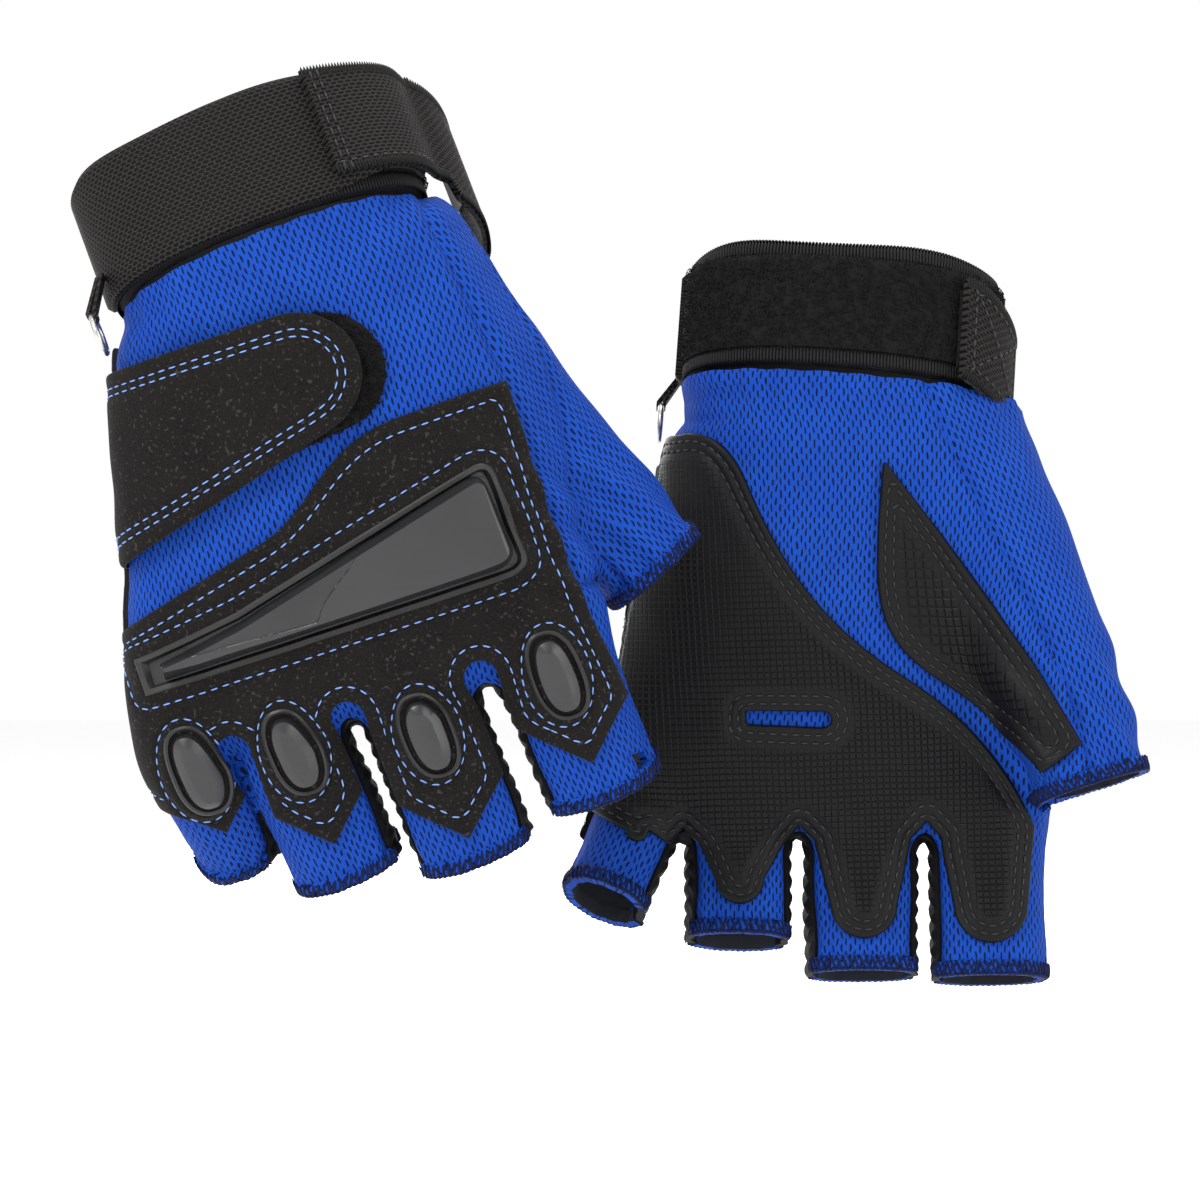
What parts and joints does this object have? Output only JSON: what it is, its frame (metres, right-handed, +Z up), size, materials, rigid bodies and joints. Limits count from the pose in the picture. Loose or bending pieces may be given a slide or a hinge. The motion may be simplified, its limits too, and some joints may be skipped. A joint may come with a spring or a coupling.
{
  "type": "riding gloves",
  "caption": "Pair of half-finger riding gloves in worn shape: blue mesh knit, black suede back with moulded knuckle guard, grip palm, closure flap and wrist strap.",
  "frame": {"origin": "middle of the right glove's wrist opening, at the top edge of its cuff", "axes": "+Z up with the fingers hanging down; +X from the right glove to the left glove; +Y away from the viewer, from the back of the right hand towards its palm"},
  "size_m": [0.2084, 0.1031, 0.1782],
  "materials": {
    "mesh_knit": "matte open mesh knit",
    "suede": "matte napped suede",
    "grip_leather": "embossed square grain, slight sheen",
    "stretch_knit": "matte fine stretch knit",
    "webbing": "coarse honeycomb weave",
    "loop_pile": "matte loop pile",
    "hook_tape": "matte hook tape",
    "guard_plastic": "semi-gloss with faint scuffs",
    "guard_rubber": "satin",
    "hem_thread": "overlocked thread",
    "ring_steel": "polished wire"
  },
  "bodies": {
    "root": {"right_back_panel": "mesh_knit", "right_palm_panel": "mesh_knit", "right_thumb_panel": "mesh_knit", "right_fourchette_pinky_ring": "stretch_knit", "right_fourchette_ring_middle": "stretch_knit", "right_fourchette_middle_index": "stretch_knit", "right_hem_index": "hem_thread", "right_hem_middle": "hem_thread", "right_hem_ring": "hem_thread", "right_hem_pinky": "hem_thread", "right_hem_thumb": "hem_thread", "right_back_overlay": "suede", "right_guard_base": "guard_rubber", "right_knuckle_guard": "guard_plastic", "right_finger_pad_pinky": "guard_plastic", "right_finger_pad_ring": "guard_plastic", "right_finger_pad_middle": "guard_plastic", "right_finger_pad_index": "guard_plastic", "right_palm_pad": "grip_leather", "right_thumb_patch": "grip_leather", "right_flap_loop": "loop_pile", "right_cuff_band": "stretch_knit", "right_loop_facing": "loop_pile", "right_wrist_strap": "webbing", "right_ring_loop": "webbing", "left_back_panel": "mesh_knit", "left_palm_panel": "mesh_knit", "left_thumb_panel": "mesh_knit", "left_fourchette_pinky_ring": "stretch_knit", "left_fourchette_ring_middle": "stretch_knit", "left_fourchette_middle_index": "stretch_knit", "left_hem_index": "hem_thread", "left_hem_middle": "hem_thread", "left_hem_ring": "hem_thread", "left_hem_pinky": "hem_thread", "left_hem_thumb": "hem_thread", "left_back_overlay": "suede", "left_guard_base": "guard_rubber", "left_knuckle_guard": "guard_plastic", "left_finger_pad_pinky": "guard_plastic", "left_finger_pad_ring": "guard_plastic", "left_finger_pad_middle": "guard_plastic", "left_finger_pad_index": "guard_plastic", "left_palm_pad": "grip_leather", "left_thumb_patch": "grip_leather", "left_flap_loop": "loop_pile", "left_cuff_band": "stretch_knit", "left_loop_facing": "loop_pile", "left_wrist_strap": "webbing", "left_ring_loop": "webbing"},
    "right_flap": {"right_flap_hook": "hook_tape", "right_closure_flap": "suede"},
    "right_strap_tab": {"right_strap_hook": "hook_tape", "right_strap_end": "webbing"},
    "right_ring": {"right_pair_ring": "ring_steel"},
    "left_flap": {"left_flap_hook": "hook_tape", "left_closure_flap": "suede"},
    "left_strap_tab": {"left_strap_hook": "hook_tape", "left_strap_end": "webbing"},
    "left_ring": {"left_pair_ring": "ring_steel"}
  },
  "joints": [
    {"name": "right_flap_peel", "type": "hinge", "parent": "root", "child": "right_flap", "pos_m": [-0.02235, -0.00545, -0.06478], "axis": [0.0778, 0, -0.997], "range_deg": [0, 110]},
    {"name": "right_strap_peel", "type": "hinge", "parent": "root", "child": "right_strap_tab", "pos_m": [0.03752, -0.0026, 0.00131], "axis": [0.3505, -0.2079, -0.9132], "range_deg": [-34, 70]},
    {"name": "right_ring_swing", "type": "hinge", "parent": "root", "child": "right_ring", "pos_m": [-0.02387, -0.01743, -0.0352], "axis": [0.0745, 0.9781, -0.1941], "range_deg": [0, 100]},
    {"name": "left_flap_peel", "type": "hinge", "parent": "root", "child": "left_flap", "pos_m": [0.07665, 0.04455, -0.07858], "axis": [0.2021, 0, 0.9794], "range_deg": [0, 110]},
    {"name": "left_strap_peel", "type": "hinge", "parent": "root", "child": "left_strap_tab", "pos_m": [0.15425, 0.0474, -0.03664], "axis": [0.0733, 0.2079, 0.9754], "range_deg": [0, 105]},
    {"name": "left_ring_swing", "type": "hinge", "parent": "root", "child": "left_ring", "pos_m": [0.08276, 0.05604, -0.04839], "axis": [-0.0156, 0.9781, -0.2073], "range_deg": [0, 100]}
  ]
}
